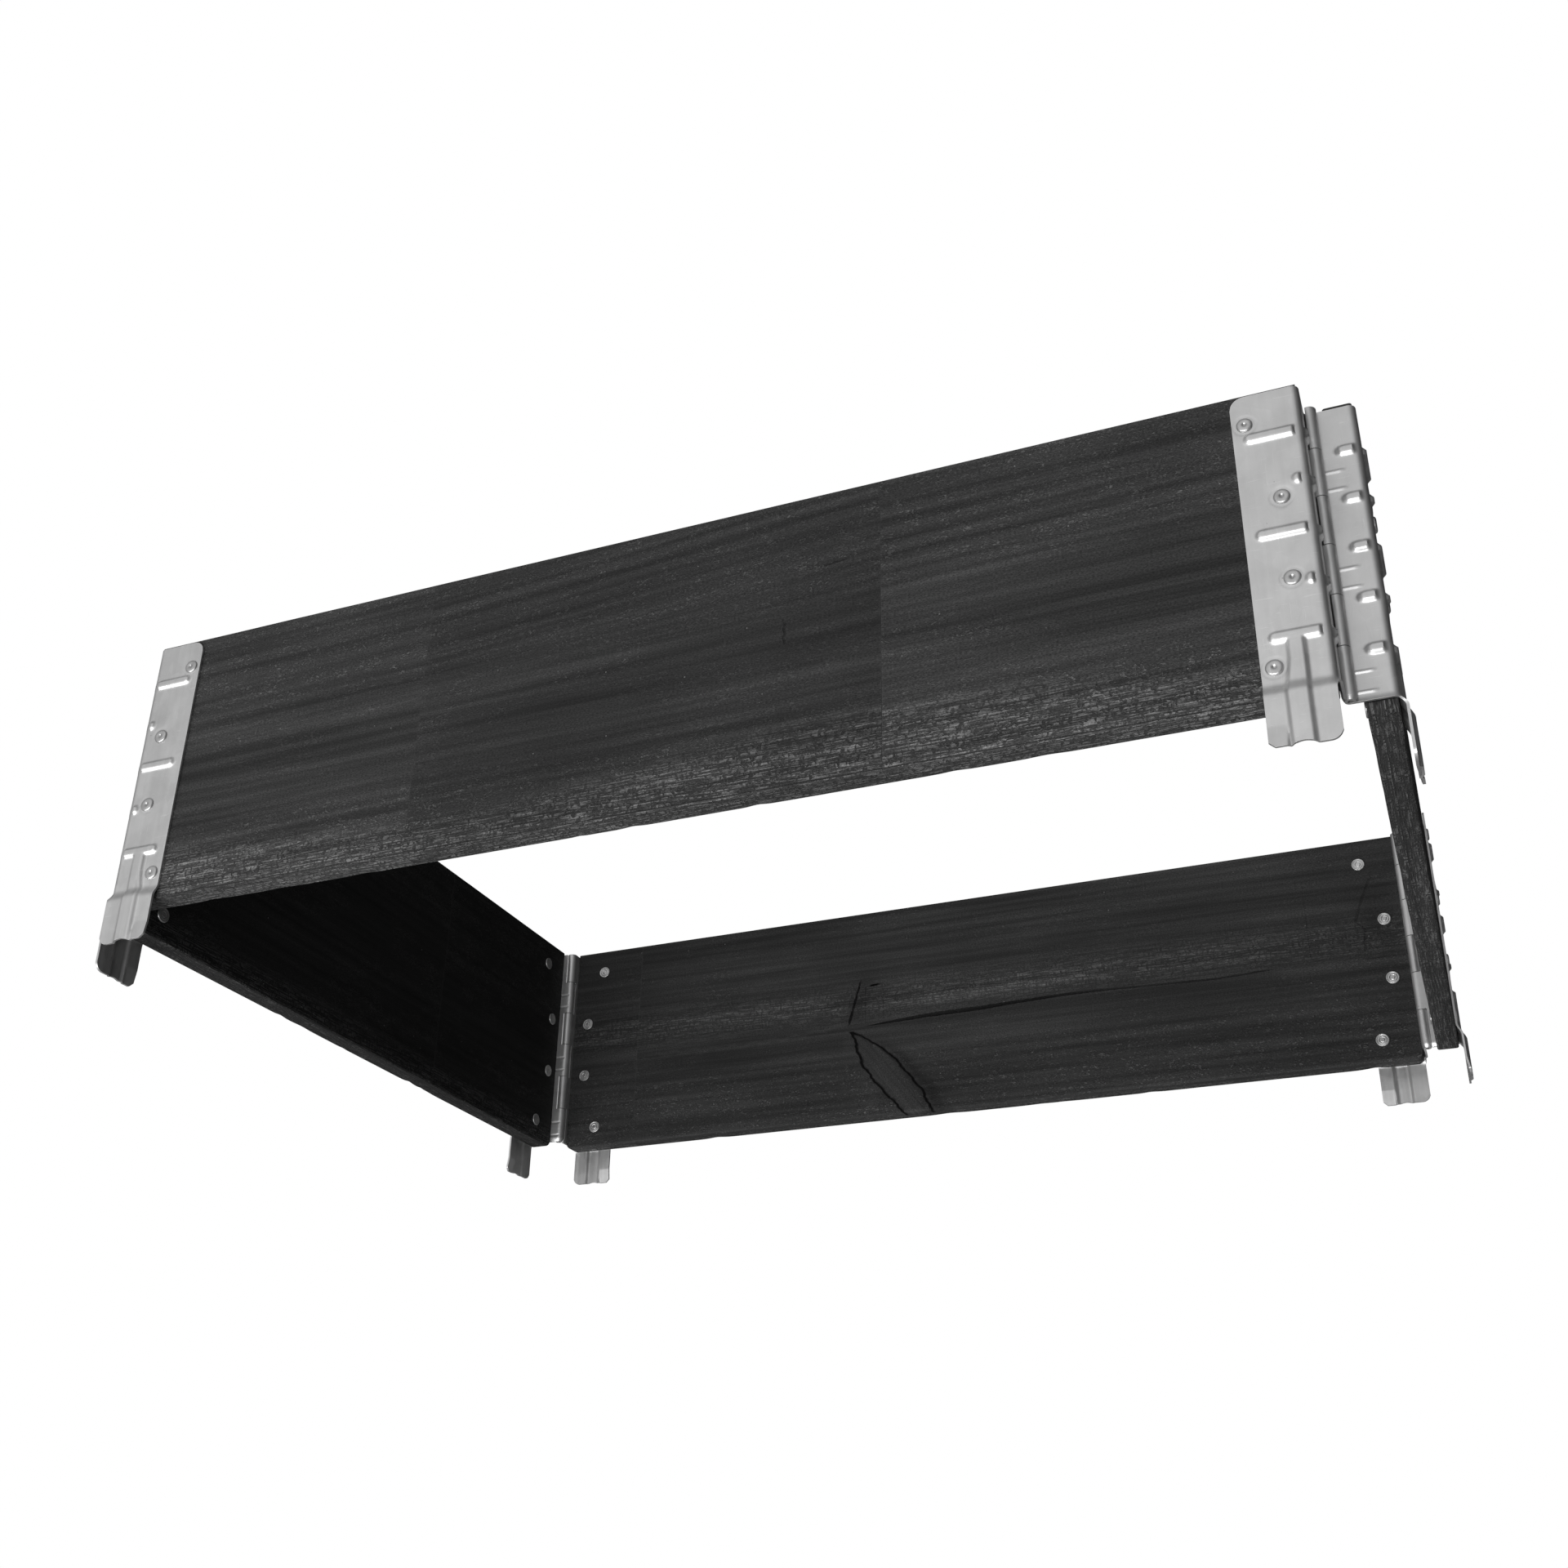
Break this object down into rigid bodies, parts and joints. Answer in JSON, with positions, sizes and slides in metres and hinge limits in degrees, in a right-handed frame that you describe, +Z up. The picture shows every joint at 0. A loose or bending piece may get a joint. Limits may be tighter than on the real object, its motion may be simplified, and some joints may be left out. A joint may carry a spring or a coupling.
{
  "type": "folding pallet collar",
  "caption": "Folding wooden pallet collar with ribbed steel corner hinges and hanging locating tabs; stacks on a pallet to make a crate and folds flat both ways.",
  "frame": {"origin": "below the middle of the collar, at the height of the locating tabs' tips", "axes": "+X along the long boards, +Y from the front board to the back board, +Z up"},
  "size_m": [0.813, 0.613, 0.2185],
  "materials": {
    "stained_wood": "black-stained sawn softwood, matt",
    "galvanised_sheet": "zinc-coated pressed sheet, satin",
    "rivet_steel": "zinc-plated, satin",
    "pin_steel": "plain drawn wire, dull"
  },
  "bodies": {
    "front": {"front_board": "stained_wood", "front_leaf_left": "galvanised_sheet", "front_leaf_right": "galvanised_sheet", "front_rivets_left": "rivet_steel", "front_rivets_right": "rivet_steel", "hinge_pin_front_left": "pin_steel", "hinge_pin_front_right": "pin_steel"},
    "left": {"left_board": "stained_wood", "left_leaf_front": "galvanised_sheet", "left_leaf_back": "galvanised_sheet", "left_rivets_front": "rivet_steel", "left_rivets_back": "rivet_steel", "hinge_pin_back_left": "pin_steel"},
    "right": {"right_board": "stained_wood", "right_leaf_front": "galvanised_sheet", "right_leaf_back": "galvanised_sheet", "right_rivets_front": "rivet_steel", "right_rivets_back": "rivet_steel", "hinge_pin_back_right": "pin_steel"},
    "back": {"back_board": "stained_wood", "back_leaf_left": "galvanised_sheet", "back_leaf_right": "galvanised_sheet", "back_rivets_left": "rivet_steel", "back_rivets_right": "rivet_steel"}
  },
  "joints": [
    {"name": "left_fold", "type": "hinge", "parent": "front", "child": "left", "pos_m": [-0.3773, -0.2773, 0.12], "axis": [0, 0, 1], "range_deg": [-90, 90]},
    {"name": "right_fold", "type": "hinge", "parent": "front", "child": "right", "pos_m": [0.3773, -0.2773, 0.12], "axis": [0, 0, 1], "range_deg": [-90, 90]},
    {"name": "back_fold", "type": "hinge", "parent": "left", "child": "back", "pos_m": [-0.3773, 0.2773, 0.12], "axis": [0, 0, 1], "range_deg": [-90, 90]}
  ],
  "couplings": [
    {"joint": "right_fold", "follows": "left_fold", "ratio": 1},
    {"joint": "back_fold", "follows": "left_fold", "ratio": -1}
  ]
}
